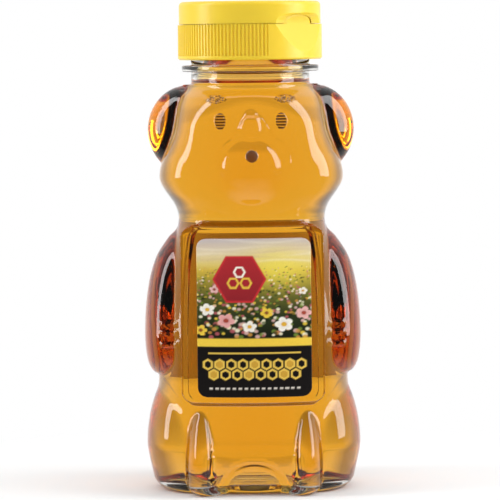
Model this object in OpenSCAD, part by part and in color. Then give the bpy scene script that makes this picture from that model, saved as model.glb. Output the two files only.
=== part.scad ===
// Bear-shaped squeeze bottle of honey: clear moulded bottle, honey, labels and a flip-top screw cap.
// Front of the bear faces -Y, its left-hand side in a front view is -X, the base stands on z = 0.

/* [Bottle heights] */
// Height of the underside of the head, where the neck crease is
crease_z = 80.4; // [79.8:0.2:83]
// Height of the waist between arms and legs
waist_z = 31.5; // [29:0.5:33]
// Height where the legs are widest
leg_z = 18; // [15:0.5:21]
// Height where the cheeks are widest
cheek_z = 92.5; // [90:0.5:95]
// Height of the crown of the head, where the neck finish begins
crown_z = 119.6; // [118:0.2:122]

/* [Bottle widths] */
// Width across the legs
leg_w = 63.7; // [58:0.5:68]
// Width at the waist
waist_w = 56.4; // [50:0.5:60]
// Width across the arms
arm_w = 64.2; // [60:0.5:68]
// Width at the neck crease
crease_w = 43.4; // [40:0.5:46]
// Width across the cheeks
cheek_w = 52.6; // [48:0.5:56]
// Width across the ears
ear_w = 61.3; // [58:0.5:64]
// Thickness of an ear from front to back at its root, deep inside the head
ear_t = 22; // [16:0.5:24]
// Depth of the bottle from front to back
body_d = 53; // [49:0.5:56]
// Wall of the moulded bottle
wall = 0.8; // [0.6:0.05:1.1]
// Rounding of the lower edge
base_r = 4; // [2:0.5:6]
// Height of the hollow under the base
punt_h = 1.6; // [0.8:0.1:2.5]

/* [Face] */
// Width of the muzzle
muzzle_w = 23; // [19:0.5:26]
// Height of the muzzle
muzzle_h = 23; // [19:0.5:26]
// Height of the middle of the muzzle
muzzle_z = 95.5; // [93:0.5:98]
// Distance from the middle of the face to the middle of an eye
eye_x = 8.8; // [7:0.1:10]
// Height of the eyes
eye_z = 109.2; // [107:0.2:111]
// Width of an eye
eye_w = 3.2; // [2:0.1:4]
// Height of an eye
eye_h = 4.9; // [3:0.1:6]
// Diameter of the nose button
nose_d = 3.6; // [2:0.1:5]
// Height of the nose button
nose_z = 99.2; // [97:0.2:101]
// Relief of eyes and nose on the face
relief_h = 0.5; // [0.3:0.1:1]

/* [Label panel] */
// Width of the raised label panel
panel_w = 42.4; // [38:0.2:44]
// Height of the panel's lower edge
panel_z0 = 27.4; // [25:0.2:30]
// Height of the panel's upper edge
panel_z1 = 79; // [77:0.2:79]
// Corner rounding of the panel
panel_r = 3.6; // [2:0.2:6]
// Radius of the panel's curve round the belly
panel_curve = 60; // [50:1:80]
// Depth of the panel's face behind the foremost point of the bottle
panel_in = 1.9; // [1.2:0.1:2.5]

/* [Labels] */
// Width of the front label
label_w = 33.2; // [28:0.2:36]
// Height of the front label
label_h = 46.2; // [40:0.2:47]
// Height of the front label's lower edge
label_z = 29.2; // [28.6:0.2:31]
// Corner rounding of a label
label_r = 2.2; // [0.5:0.1:4]
// Thickness of a label
label_t = 0.15; // [0.1:0.01:0.3]
// Gap between a label and the wall behind it
label_gap = 0.12; // [0.05:0.01:0.25]
// Width of the back label
back_label_w = 38; // [30:0.5:42]

/* [Neck finish] */
// Diameter of the neck under the thread
neck_d = 35.1; // [34.5:0.1:35.6]
// Diameter over the bottle's thread
thread_d = 37.5; // [36.9:0.1:37.8]
// Wall of the neck
neck_wall = 1.6; // [1.2:0.1:2.2]
// Height of the mouth above the crown of the head
neck_h = 14.9; // [14.4:0.1:15.4]
// Diameter of the support ring
ring_d = 40.5; // [39:0.1:42]
// Thickness of the support ring
ring_t = 1.9; // [1.4:0.1:2.2]
// Height of the support ring above the crown of the head
ring_rise = 3.8; // [3.2:0.1:4.2]
// Advance of the thread in one turn
pitch = 4.233; // [3.8:0.05:4.6]
// Axial width of the thread at its root
thread_root = 2.2; // [1.8:0.1:2.4]
// Axial width of the thread at its crest
thread_crest = 1; // [0.6:0.1:1.4]
// Turn of the bottle's thread in degrees
thread_turn = 380; // [300:10:400]
// Depth of the thread's upper edge under the mouth
thread_drop = 1.2; // [1:0.1:2]
// Turn of the cap's thread in degrees
cap_thread_turn = 330; // [180:10:340]

/* [Mouth seal and liner] */
// Thickness of the foil seal on the mouth
foil_t = 0.2; // [0.1:0.05:0.4]
// Thickness of the soft liner ring in the cap
liner_t = 0.8; // [0.5:0.1:1.2]
// Bore of the liner ring
liner_bore = 24; // [18:0.5:28]

/* [Honey] */
// Space between the honey and the mouth
headspace = 6; // [5:0.5:8]

/* [Cap base] */
// Diameter over the ribs of the cap
cap_d = 42.7; // [42:0.1:44]
// Height of the cap base from its lower edge to the seam
base_h = 10.3; // [9.8:0.1:10.8]
// Thickness of the deck under the lid
deck_t = 1.2; // [1:0.1:1.5]
// Depth of the deck under the seam
deck_drop = 0.5; // [0.3:0.1:1]
// Height of the plain band under the ribs
band_h = 1.2; // [0.8:0.1:2]
// Step from the band in to the crests of the ribs
band_step = 0.06; // [0.03:0.01:0.15]
// Depth of the grooves between the ribs
rib_depth = 0.35; // [0.2:0.05:0.5]
// Number of ribs if they went all round
rib_count = 120; // [90:2:140]
// Running clearance between the threads
thread_gap = 0.3; // [0.2:0.05:0.4]
// Outer diameter of the spout at its foot
spout_d = 12; // [10:0.5:14]
// Outer diameter of the spout at its tip
spout_tip_d = 8; // [7:0.5:9]
// Height of the spout above the deck
spout_h = 4; // [3:0.1:4.4]
// Diameter of the pouring hole
hole_d = 5.2; // [5:0.1:6]

/* [Flip lid] */
// Height of the lid above the seam
lid_h = 6.8; // [6.4:0.1:7.4]
// Step of the lid's side behind the ribs
lid_step = 0.4; // [0.2:0.05:0.6]
// Wall of the lid
lid_wall = 1.4; // [1.1:0.1:1.6]
// Rounding of the lid's upper edge
lid_round = 1.3; // [0.6:0.1:1.3]
// Gap at the seam between base and lid
seam_gap = 0.15; // [0.1:0.01:0.2]
// Clearance between the lid and what stands inside it
lid_gap = 0.3; // [0.25:0.05:0.4]
// Diameter of the sealing pin at its root
pin_d = 4.2; // [3.8:0.1:4.4]
// Depth of the sealing pin in the pouring hole
pin_reach = 1.2; // [0.8:0.1:1.5]

/* [Thumb scoop and hinge] */
// Direction of the thumb scoop, turned from the front towards +X
scoop_az = 49; // [40:1:60]
// Depth of the thumb scoop
scoop_depth = 2.8; // [2:0.05:3]
// Height of the scoop above the seam
scoop_up = 3.2; // [2.5:0.1:3.5]
// Reach of the scoop below the seam
scoop_down = 8.3; // [6:0.1:8.6]
// Angle of the smooth skirt round the scoop
smooth_angle = 70; // [60:1:80]
// Width of the living hinge
hinge_w = 14; // [8:0.5:18]
// Height of the living hinge across the seam
hinge_h = 3; // [2:0.2:4]
// Thickness of the living hinge
hinge_t = 0.45; // [0.3:0.05:0.6]

/* [Hidden] */
fine = 96;

// Spacing of the rows up the outside and the inside of the body
row_step = 2.8;
inner_row_step = 6.8;

// Heights that follow from the ones above
mouth_z = crown_z + neck_h;
ring_z = crown_z + ring_rise;
foil_z = mouth_z + foil_t;
deck_z0 = foil_z + liner_t;
deck_z1 = deck_z0 + deck_t;
seam_z = deck_z1 + deck_drop;
cap_z0 = seam_z - base_h;
lid_z0 = seam_z + seam_gap;
top_z = seam_z + lid_h;
lid_in_z = top_z - lid_wall;
honey_z = mouth_z - headspace;

// Radii that follow from the ones above
neck_r = neck_d/2;
bore_r = neck_r - neck_wall;
thread_r = thread_d/2;
cap_r = cap_d/2;
cap_in_r = thread_r + thread_gap;
collar_r = neck_r + thread_gap;
lid_r = cap_r - lid_step;
lid_in_r = lid_r - lid_wall;

// Soft steps and blends
function clamp01(v) = min(1, max(0, v));
function ease(a, b, v) = let (u = clamp01((v - a)/(b - a))) u*u*(3 - 2*u);
function soft_max(a, b, k) = (a + b + sqrt((a - b)*(a - b) + k*k))/2;

// Smooth curve through stations [height, value, ...], column c, with level ends
function slope(s, i, c) = i == 0 || i == len(s) - 1 ? 0
    : (s[i + 1][c] - s[i - 1][c])/(s[i + 1][0] - s[i - 1][0]);
function station(s, z, i = 0) = i >= len(s) - 2 || z < s[i + 1][0] ? i : station(s, z, i + 1);
function hermite(a, b, ma, mb, h, u) =
    a*(1 + 2*u)*(1 - u)*(1 - u) + b*u*u*(3 - 2*u) + h*(ma*u*(1 - u)*(1 - u) - mb*u*u*(1 - u));
function along(s, z, c) = let (
        i = station(s, z),
        h = s[i + 1][0] - s[i][0],
        u = clamp01((z - s[i][0])/h)
    ) hermite(s[i][c], s[i + 1][c], slope(s, i, c), slope(s, i + 1, c), h, u);

// Torso and head without limbs and ears: height, half width, depth in front, depth behind
core = [
    [0, leg_w/2 - 3.4, body_d/2 - 3, body_d/2 - 3],
    [leg_z - 8, leg_w/2 - 2.6, body_d/2 - 2.6, body_d/2 - 1],
    [waist_z, waist_w/2, body_d/2 - 3.4, body_d/2 - 1],
    [waist_z + 16, arm_w/2 - 4.2, body_d/2 - 3.4, body_d/2],
    [crease_z - 14, crease_w/2 + 3.5, body_d/2 - 4, body_d/2 - 1.6],
    [crease_z - 4, crease_w/2 + 0.6, body_d/2 - 5.4, body_d/2 - 4],
    [crease_z, crease_w/2, body_d/2 - 6, body_d/2 - 5],
    [crease_z + 3.5, crease_w/2 + 0.9, body_d/2 - 5.2, body_d/2 - 4.2],
    [cheek_z, cheek_w/2, body_d/2 - 3.8, body_d/2 - 2.6],
    [crown_z - 14, cheek_w/2 - 4, body_d/2 - 3.8, body_d/2 - 2.6],
    [crown_z - 4, cheek_w/2 - 6, body_d/2 - 5.2, body_d/2 - 4.8],
    [crown_z, neck_r + 1, neck_r + 1, neck_r + 1]
];
function squareness(z) = 2 + (0.45*ease(0, 4, z) + 0.5*ease(crease_z, crease_z + 8, z))
    *(1 - ease(crown_z - 12, crown_z, z));
function core_r(t, z) = let (
        n = squareness(z),
        s = abs(sin(t)),
        c = abs(cos(t)),
        b = along(core, z, cos(t) > 0 ? 2 : 3)
    ) pow(pow(s/along(core, z, 1), n) + pow(c/b, n), -1/n);

// Far crossing of a ray at angle t with an ellipse at (x, front y) in the level plane, 0 when missed
function lobe(t, x, y, a, b) = let (
        s = sin(t),
        c = cos(t),
        p = s*s/(a*a) + c*c/(b*b),
        q = s*x/(a*a) + c*y/(b*b),
        d = q*q - p*(x*x/(a*a) + y*y/(b*b) - 1)
    ) d <= 0 || p <= 0 ? 0 : (q + sqrt(d))/p;
function dome(z, z0, h) = let (u = (z - z0)/h) sqrt(max(0.0001, 1 - u*u));
function ball(t, z, x, y, z0, a, b, h) = let (s = dome(z, z0, h))
    abs(z - z0) >= h ? 0 : lobe(t, x, y, a*s, b*s);

// Ears: lobes at the sides of the head that taper outwards
ear_z = crown_z - 13.3;
ear_h = 13.2;
ear_core = 6;
ear_root = 18.5;
function ear_lobe(t, z) = let (s = dome(z, ear_z, ear_h))
    abs(z - ear_z) >= ear_h ? 0
    : lobe(t, ear_core, 0, ear_root - ear_core + (ear_w/2 - ear_root)*s, ear_t/2*sqrt(s));

// Muzzle and the bridge of the nose
function muzzle(t, z) = max(
    ball(t, z, 0, body_d/2 - 11.2, muzzle_z, muzzle_w/2, 11, muzzle_h/2),
    ball(t, z, 0, body_d/2 - 6.2, muzzle_z + 11.5, 3.7, 3.8, 6));

// Arms: height, outer half width, middle of the arm in front of the axis, half depth
arm = [
    [waist_z + 1.4, waist_w/2 - 1.4, 3, 5],
    [waist_z + 3.6, arm_w/2 - 2.3, 3.4, 9],
    [waist_z + 7.6, arm_w/2 - 0.6, 3.8, 11.6],
    [waist_z + 16, arm_w/2, 3.4, 12.4],
    [waist_z + 28, arm_w/2 - 1, 2.4, 11.6],
    [waist_z + 37, arm_w/2 - 3.4, 1.6, 10],
    [waist_z + 43, arm_w/2 - 7.2, 1, 7.4],
    [waist_z + 46.4, crease_w/2 + 0.2, 0.6, 4]
];
arm_half = 7.4;
function arm_lobe(t, z) = z <= arm[0][0] || z >= arm[len(arm) - 1][0] ? 0
    : lobe(t, along(arm, z, 1) - arm_half, along(arm, z, 2), arm_half, along(arm, z, 3));

// Legs: a thigh at each side and a foot towards the front
thigh_half = 12;
foot_x = 15.2;
function thigh(t, z) = let (s = dome(z, leg_z - 5, waist_z - leg_z + 6))
    lobe(t, leg_w/2 - thigh_half, 2, thigh_half*(z < leg_z - 5 ? 1 : s),
        17*(z < leg_z - 5 ? 1 : s));
function foot(t, z) = let (s = dome(z, 8, panel_z0 - 9.4))
    z > panel_z0 - 2 ? 0 : lobe(t, foot_x, body_d/2 - 9, 4.9*s, 9*s);

// Raised panel for the front label: part of an upright cylinder
panel_back = panel_curve - (body_d/2 - panel_in);
function panel_face(t) = let (s = sin(t))
    sqrt(max(0, panel_curve*panel_curve - panel_back*panel_back*s*s)) - panel_back*cos(t);
function panel_share(t, z, inside) = cos(t) <= 0.3 ? 0 : let (
        x = panel_face(t)*sin(t),
        mid = (panel_z0 + panel_z1)/2,
        u = abs(x) - panel_w/2 + panel_r,
        v = abs(z - mid) - (panel_z1 - panel_z0)/2 + panel_r,
        d = u > 0 && v > 0 ? sqrt(u*u + v*v) - panel_r : max(u, v) - panel_r
    ) inside ? 1 - ease(-5, -0.6, d) : 1 - ease(-0.2, 1.1, d);

// Arched recess under the belly between the feet
arch_w = 22;
arch_h = 9.8;
function arch(t, z, r) = cos(t) <= 0.3 ? 0 : let (
        u = r*sin(t)/(arch_w/2),
        v = z/arch_h,
        d = sqrt(u*u + v*v)
    ) 2.2*(1 - ease(0.82, 1.02, d));

// Rounding of the lower edge
function foot_inset(z) = z >= base_r ? 0 : base_r - sqrt(base_r*base_r - (base_r - z)*(base_r - z));

// Surface of the body: distance from the axis at angle t from the front and height z
// The inside has softer limbs and a smaller panel than the outside
function skin(t, z, inside = false) = let (
        tt = abs(t > 180 ? 360 - t : t),
        c = core_r(tt, z),
        limbs = max(ear_lobe(tt, z), muzzle(tt, z), arm_lobe(tt, z), thigh(tt, z), foot(tt, z)),
        raised = limbs > c - 3 ? soft_max(c, limbs, 0.5) - 0.1 : c,
        body = inside ? c + 0.6*(raised - c) : raised,
        w = panel_share(tt, z, inside),
        r = body*(1 - w) + panel_face(tt)*w
    ) r - arch(tt, z, r) - foot_inset(z);

// Columns round the body: even over the panel, close at its edge, then wider towards the back
function panel_angle(x) = atan2(x, sqrt(panel_curve*panel_curve - x*x) - panel_back);
edge_in = panel_angle(panel_w/2 - 0.2);
edge_out = panel_angle(panel_w/2 + 1.1);
side_end = 122;
back_steps = 6;
half_angles = concat(
    [for (i = [0:10]) edge_in*i/11],
    [edge_in, (edge_in + edge_out)/2],
    [for (i = [0:12]) edge_out + (side_end - edge_out)*i/13],
    [for (i = [0:back_steps]) side_end + (180 - side_end)*i/back_steps]
);
half = len(half_angles) - 1;
columns = 2*half;
function column_angle(i) = i <= half ? half_angles[i] : 360 - half_angles[columns - i];
function at(r, t, z) = [r*sin(t), -r*cos(t), z];
function outer_ring(z) = [for (i = [0:columns - 1]) let (t = column_angle(i)) at(skin(t, z), t, z)];

// Inside surface: the outside pulled in by a ball with the wall's radius
function hollow(t, z, w) = let (
        r = skin(t, z, true),
        turn = 0.9*w*180/(PI*r)
    ) min(r - w, min([for (a = [0:45:315]) skin(t + turn*cos(a), z + 0.9*w*sin(a), true) - 0.44*w]));
function inner_ring(z, inset) = [for (i = [0:columns - 1]) let (t = column_angle(i))
    at(hollow(t, z, inset*(1 + 0.35*(1 - ease(0, 12, z)))), t, z)];
function round_ring(r, z) = [for (i = [0:columns - 1]) at(r, column_angle(i), z)];
function shrunk_ring(ring, k, z) = [for (p = ring) [p[0]*k, p[1]*k, z]];

// Depth of the face in front of the axis at x and z
function face_depth(x, z) = let (
        r0 = skin(asin(x/(body_d/2)), z),
        t = asin(x/r0)
    ) skin(t, z)*cos(t);

// Closed surface over a chain of rings, with a point at each end; turned over for a chain that runs down
module loft(rings, first, last, down = false) {
    n = columns;
    m = len(rings);
    points = concat([first], [for (r = rings) for (p = r) p], [last]);
    faces = concat(
        [for (i = [0:n - 1]) [0, 1 + i, 1 + (i + 1)%n]],
        [for (j = [0:m - 2]) for (i = [0:n - 1]) let (a = 1 + j*n, b = a + n, k = (i + 1)%n)
            each [[a + i, b + i, b + k], [a + i, b + k, a + k]]],
        [for (i = [0:n - 1]) [1 + (m - 1)*n + i, 1 + m*n, 1 + (m - 1)*n + (i + 1)%n]]
    );
    polyhedron(points, down ? [for (f = faces) [f[2], f[1], f[0]]] : faces, convexity = 10);
}

// Rows of the loft, with some close to the edges that have to stay crisp
function spread(a, b, step) = let (n = max(1, round((b - a)/step))) [for (i = [0:n - 1]) a + (b - a)*i/n];
outer_rows = concat(
    [for (a = [0:22.5:67.5]) base_r*(1 - cos(a))],
    spread(base_r, panel_z0 - 1.1, row_step),
    [panel_z0 - 1.1, panel_z0 - 0.4],
    spread(panel_z0 + 0.2, panel_z0 + panel_r, 1.2),
    spread(panel_z0 + panel_r, panel_z1 - panel_r, row_step),
    spread(panel_z1 - panel_r, panel_z1 - 0.2, 1.2),
    [panel_z1 - 0.2, panel_z1 + 0.4],
    spread(panel_z1 + 1.1, crown_z - 3, row_step),
    [crown_z - 3, crown_z - 1.2, crown_z]
);
inner_low = wall + punt_h + 0.6;
inner_top = crown_z - 0.9;
inner_rows = concat(
    spread(inner_low + 3, panel_z0 - 1.1, inner_row_step),
    spread(panel_z0 - 1.1, crease_z - 6, inner_row_step),
    spread(crease_z - 6, crease_z + 6, inner_row_step/2),
    spread(crease_z + 6, inner_top - 2, inner_row_step),
    [inner_top - 2]
);

// Moulded body with its hollow, up to the foot of the neck
module body_shell() {
    foot_ring = outer_ring(0);
    floor_ring = inner_ring(inner_low + 0.8, wall);
    loft(concat(
            [shrunk_ring(foot_ring, 0.45, punt_h), shrunk_ring(foot_ring, 0.82, 0)],
            [for (z = outer_rows) outer_ring(z)],
            [round_ring(neck_r - 0.5, crown_z), round_ring(neck_r - 0.5, crown_z + 1.2)],
            [round_ring(bore_r + 0.3, crown_z + 1.2), round_ring(bore_r + 0.3, inner_top)],
            [for (k = [len(inner_rows) - 1:-1:0]) inner_ring(inner_rows[k], wall)],
            [floor_ring, shrunk_ring(floor_ring, 0.93, inner_low), shrunk_ring(floor_ring, 0.45, inner_low)]
        ), [0, 0, punt_h], [0, 0, inner_low]);
}

// Eyes and nose stand a little proud of the face
module face_pad(x, z, w, h) {
    depth = face_depth(abs(x), z);
    translate([x, -depth + 0.4, z]) rotate([90, 0, 0]) linear_extrude(relief_h + 0.4)
        polygon([for (a = [0:15:345]) [w/2*cos(a), h/2*sin(a)]]);
}

// Rib along a helix: r0 and r1 are the radii of its root and crest
module helix_rib(r0, r1, root, crest, z, turn) {
    steps = ceil(turn/12);
    profile = [[r0, -root/2], [r1, -crest/2], [r1, crest/2], [r0, root/2]];
    n = len(profile);
    function place(i) = let (
            a = i*turn/steps,
            fade = min(1, 0.25 + min(i, steps - i)/3)
        ) [for (p = profile) let (r = r0 + (p[0] - r0)*fade)
            [r*cos(a), r*sin(a), z + pitch*a/360 + p[1]]];
    points = [for (i = [0:steps]) each place(i)];
    flip = r1 < r0;
    sides = [for (i = [0:steps - 1]) for (k = [0:n - 1]) let (a = i*n + k, b = i*n + (k + 1)%n)
        each [[a, b, b + n], [a, b + n, a + n]]];
    ends = [[for (k = [n - 1:-1:0]) k], [for (k = [0:n - 1]) steps*n + k]];
    faces = concat(sides, ends);
    polyhedron(points, flip ? [for (f = faces) [for (k = [len(f) - 1:-1:0]) f[k]]] : faces,
        convexity = 6);
}

thread_z = mouth_z - thread_drop - thread_root/2 - pitch*thread_turn/360;

// Neck tube with support ring and rounded lip
module neck_finish() {
    lip = 0.5;
    rotate_extrude($fn = fine) polygon([
        [bore_r, crown_z - 0.5], [neck_r, crown_z - 0.5], [neck_r, ring_z],
        [ring_d/2 - 0.4, ring_z], [ring_d/2, ring_z + 0.4],
        [ring_d/2, ring_z + ring_t - 0.4], [ring_d/2 - 0.4, ring_z + ring_t],
        [neck_r, ring_z + ring_t], [neck_r, mouth_z - lip], [neck_r - lip, mouth_z],
        [bore_r, mouth_z]
    ]);
}

module bottle() {
    color([0.93, 0.80, 0.55, 0.55]) union() {
        body_shell();
        neck_finish();
        for (side = [-1, 1]) face_pad(side*eye_x, eye_z, eye_w, eye_h);
        face_pad(0, nose_z, nose_d, nose_d);
        helix_rib(neck_r - 0.3, thread_r, thread_root, thread_crest, thread_z, thread_turn);
    }
}

// Honey fills the hollow up to the neck
module honey() {
    gap = 0.06;
    floor_z = inner_low + gap;
    floor_ring = inner_ring(floor_z + 0.8, wall + gap);
    color([0.85, 0.52, 0.10]) loft(concat(
            [round_ring(bore_r - gap - 0.05, honey_z), round_ring(bore_r - gap - 0.05, inner_top)],
            [for (k = [len(inner_rows) - 1:-1:0]) inner_ring(inner_rows[k], wall + gap)],
            [floor_ring, shrunk_ring(floor_ring, 0.93, floor_z), shrunk_ring(floor_ring, 0.45, floor_z)]
        ), [0, 0, honey_z], [0, 0, floor_z], down = true);
}

module rounded_plate(w, h, r, depth) {
    linear_extrude(depth) union() {
        square([w - 2*r, h], center = true);
        square([w, h - 2*r], center = true);
        for (x = [-1, 1]) for (y = [-1, 1])
            translate([x*(w/2 - r), y*(h/2 - r)]) circle(r, $fn = 32);
    }
}

// Front label on the panel's curve
module front_label() {
    face_r = panel_curve + label_gap;
    color([0.93, 0.90, 0.82]) intersection() {
        translate([0, panel_back, label_z]) difference() {
            cylinder(h = label_h, r = face_r + label_t, $fn = 2*fine);
            translate([0, 0, -1]) cylinder(h = label_h + 2, r = face_r, $fn = 2*fine);
        }
        translate([0, 0, label_z + label_h/2]) rotate([90, 0, 0])
            rounded_plate(label_w, label_h, label_r, body_d);
    }
}

// Back label lies on the facets of the back, from its middle column out to the label's edges
back_rows = concat(spread(panel_z0 + panel_r, panel_z1 - panel_r, row_step), [panel_z1 - panel_r]);
function back_facets(z, off) = [for (i = [half - back_steps:half]) at(skin(half_angles[i], z) + off, half_angles[i], z)];
back_mid = back_facets(waist_z + 16, 0);
back_edge = max([for (i = [0:back_steps - 1]) if (back_mid[i][0] > back_label_w/2) i]);
function back_half(z, off) = let (
        p = back_facets(z, off),
        a = p[back_edge],
        b = p[back_edge + 1],
        f = (a[0] - back_label_w/2)/(a[0] - b[0])
    ) concat([a + f*(b - a)], [for (i = [back_edge + 1:back_steps]) p[i]]);
function back_line(z, off) = let (h = back_half(z, off), n = len(h))
    concat(h, [for (i = [n - 2:-1:0]) [-h[i][0], h[i][1], h[i][2]]]);
module back_label() {
    n = 2*(back_steps - back_edge) + 1;
    m = len(back_rows);
    count = n*m;
    points = concat(
        [for (z = back_rows) each back_line(z, label_gap)],
        [for (z = back_rows) each back_line(z, label_gap + label_t)]);
    skins = [for (j = [0:m - 2]) for (i = [0:n - 2]) let (a = j*n + i, b = a + n)
        each [[a, b + 1, b], [a, a + 1, b + 1],
            [a + count, b + count, b + 1 + count], [a + count, b + 1 + count, a + 1 + count]]];
    rim = concat([for (i = [0:n - 2]) i], [for (j = [0:m - 2]) j*n + n - 1],
        [for (i = [n - 1:-1:1]) (m - 1)*n + i], [for (j = [m - 1:-1:1]) j*n]);
    edges = [for (i = [0:len(rim) - 1]) let (a = rim[i], b = rim[(i + 1)%len(rim)])
        each [[a, b + count, b], [a, a + count, b + count]]];
    color([0.90, 0.86, 0.76]) polyhedron(points, concat(skins, edges), convexity = 4);
}

// Foil heat-sealed over the mouth
module mouth_seal() {
    color([0.80, 0.80, 0.82]) translate([0, 0, mouth_z])
        cylinder(h = foil_t, r = neck_r - 0.1, $fn = fine);
}

// Soft ring between the cap and the mouth
module cap_liner() {
    color([0.96, 0.96, 0.94]) translate([0, 0, foil_z]) difference() {
        cylinder(h = liner_t, r = collar_r - 0.15, $fn = fine);
        translate([0, 0, -1]) cylinder(h = liner_t + 2, d = liner_bore, $fn = fine);
    }
}

// Ribbed outline of the skirt, smooth round the scoop
function rib_radius(a, k) = let (
        off = abs((a - scoop_az + 540)%360 - 180)
    ) cap_r - band_step - (off < smooth_angle/2 || k < 2 ? 0 : rib_depth);
module skirt_outline() {
    step = 360/rib_count;
    polygon([for (i = [0:rib_count - 1]) for (k = [0:3])
        let (a = (i + [0.02, 0.4, 0.55, 0.87][k])*step, r = rib_radius(a, k))
        [r*sin(a), -r*cos(a)]]);
}

// Cutter of the thumb scoop: a long slope below and a rounded end above
module scoop_cutter() {
    out = cap_r + 6;
    deep = cap_r - scoop_depth;
    turn_z = seam_z + 0.4;
    rotate([0, 0, scoop_az - 90]) rotate([90, 0, 0]) translate([0, 0, -cap_r])
        linear_extrude(2*cap_r) polygon(concat(
            [[out, seam_z - scoop_down], [cap_r, seam_z - scoop_down]],
            [for (a = [0:15:90]) [lid_r - (lid_r - deep)*cos(a),
                turn_z + (seam_z + scoop_up - turn_z)*sin(a)]],
            [[out, seam_z + scoop_up]]));
}

// Wall of the base that stands behind the scoop, inside the lid
module scoop_backing() {
    rotate([0, 0, scoop_az - 90]) translate([cap_r - scoop_depth - 1.3, -11, deck_z0])
        cube([5, 22, seam_z + scoop_up + 0.2 - deck_z0]);
}

// Skirt, deck and rim, hollow for the neck below and recessed for the lid above
module cap_shell() {
    rim_r = lid_in_r - lid_gap;
    cut = 1;
    difference() {
        union() {
            translate([0, 0, cap_z0 + band_h]) linear_extrude(base_h - band_h) skirt_outline();
            translate([0, 0, cap_z0 + 0.5]) cylinder(h = band_h - 0.5, r = cap_r, $fn = fine);
            translate([0, 0, cap_z0]) cylinder(h = 0.5, r1 = cap_r - 0.5, r2 = cap_r, $fn = fine);
            intersection() {
                translate([0, 0, deck_z1]) cylinder(h = lid_h, r = rim_r, $fn = fine);
                union() {
                    translate([-cap_r, -cap_r, deck_z1]) cube([cap_d, cap_d, deck_drop + 1]);
                    scoop_backing();
                }
            }
        }
        translate([0, 0, cap_z0 - cut])
            cylinder(h = deck_z0 - 1.6 - cap_z0 + cut, r = cap_in_r, $fn = fine);
        translate([0, 0, cap_z0 - cut]) cylinder(h = deck_z0 - cap_z0 + cut, r = collar_r, $fn = fine);
        difference() {
            translate([0, 0, deck_z1]) cylinder(h = lid_h, r = rim_r - 1, $fn = fine);
            scoop_backing();
        }
    }
}

// The cap's thread lies half a pitch under the bottle's
cap_thread_low = cap_z0 + 0.5 + thread_root/2;
cap_thread_start = (cap_thread_low + pitch/2 - thread_z)*360/pitch;
module cap_thread() {
    rotate([0, 0, cap_thread_start]) helix_rib(cap_in_r + 0.3, collar_r, thread_root, thread_crest,
        cap_thread_low, cap_thread_turn);
}

module cap_base() {
    color([0.94, 0.78, 0.22]) difference() {
        union() {
            cap_shell();
            spout();
            cap_thread();
        }
        scoop_cutter();
        translate([0, 0, deck_z0 - 1]) cylinder(h = deck_t + spout_h + 2, d = hole_d, $fn = fine);
    }
}

// Spout with a low collar round its foot
module spout() {
    translate([0, 0, deck_z0]) cylinder(h = deck_t + 0.4, r = spout_d/2 + 2, $fn = fine);
    translate([0, 0, deck_z1]) cylinder(h = spout_h, d1 = spout_d, d2 = spout_tip_d, $fn = fine);
}

module flip_lid() {
    color([0.94, 0.78, 0.22]) difference() {
        union() {
            difference() {
                rotate_extrude($fn = fine) polygon(concat(
                    [[0, lid_z0], [lid_r, lid_z0]],
                    [for (a = [0:15:90]) [lid_r - lid_round + lid_round*cos(a),
                        top_z - lid_round + lid_round*sin(a)]],
                    [[0, top_z]]));
                translate([0, 0, seam_z - 1]) cylinder(h = lid_in_z - seam_z + 1, r = lid_in_r, $fn = fine);
            }
            pin_low = deck_z1 + spout_h - pin_reach;
            translate([0, 0, pin_low])
                cylinder(h = lid_in_z - pin_low + 0.2, d1 = pin_d - 0.6, d2 = pin_d, $fn = fine);
        }
        scoop_cutter();
    }
}

module living_hinge() {
    angle = hinge_w/(cap_r + hinge_t/2)*180/PI;
    color([0.94, 0.78, 0.22]) rotate([0, 0, scoop_az + 90 - angle/2])
        rotate_extrude(angle = angle, $fn = fine)
            translate([cap_r, seam_z - hinge_h/2]) square([hinge_t, hinge_h]);
}

bottle();
honey();
front_label();
back_label();
mouth_seal();
cap_liner();
cap_base();
flip_lid();
living_hinge();
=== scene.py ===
# Bear-shaped squeeze bottle of honey with a label panel and a flip-top cap
# The front of the bear faces -Y, its base stands on z = 0
import math

import bpy
import numpy as np
from mathutils import Matrix, Vector


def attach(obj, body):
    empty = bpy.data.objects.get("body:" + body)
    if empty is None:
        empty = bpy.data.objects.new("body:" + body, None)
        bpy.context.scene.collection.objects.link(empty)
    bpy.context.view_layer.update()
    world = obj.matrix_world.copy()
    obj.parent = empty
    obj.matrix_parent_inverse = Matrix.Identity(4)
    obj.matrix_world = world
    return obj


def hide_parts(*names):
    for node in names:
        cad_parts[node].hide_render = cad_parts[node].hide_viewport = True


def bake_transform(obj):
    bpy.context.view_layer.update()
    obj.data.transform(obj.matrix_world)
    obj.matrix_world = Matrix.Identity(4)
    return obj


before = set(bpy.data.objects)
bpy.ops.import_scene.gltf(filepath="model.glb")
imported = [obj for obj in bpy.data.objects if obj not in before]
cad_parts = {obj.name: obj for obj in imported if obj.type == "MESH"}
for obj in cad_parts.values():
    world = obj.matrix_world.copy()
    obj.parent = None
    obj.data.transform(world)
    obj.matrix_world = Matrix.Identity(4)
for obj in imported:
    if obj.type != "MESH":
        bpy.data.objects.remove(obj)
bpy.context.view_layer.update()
mm = 0.001
print("frame loaded")

# Small helpers


def toLinear(hexColour, alpha=1.0):
    value = hexColour.lstrip("#")
    parts = [int(value[i:i + 2], 16)/255 for i in (0, 2, 4)]
    return tuple([p/12.92 if p <= 0.04045 else ((p + 0.055)/1.055)**2.4 for p in parts] + [alpha])


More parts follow.
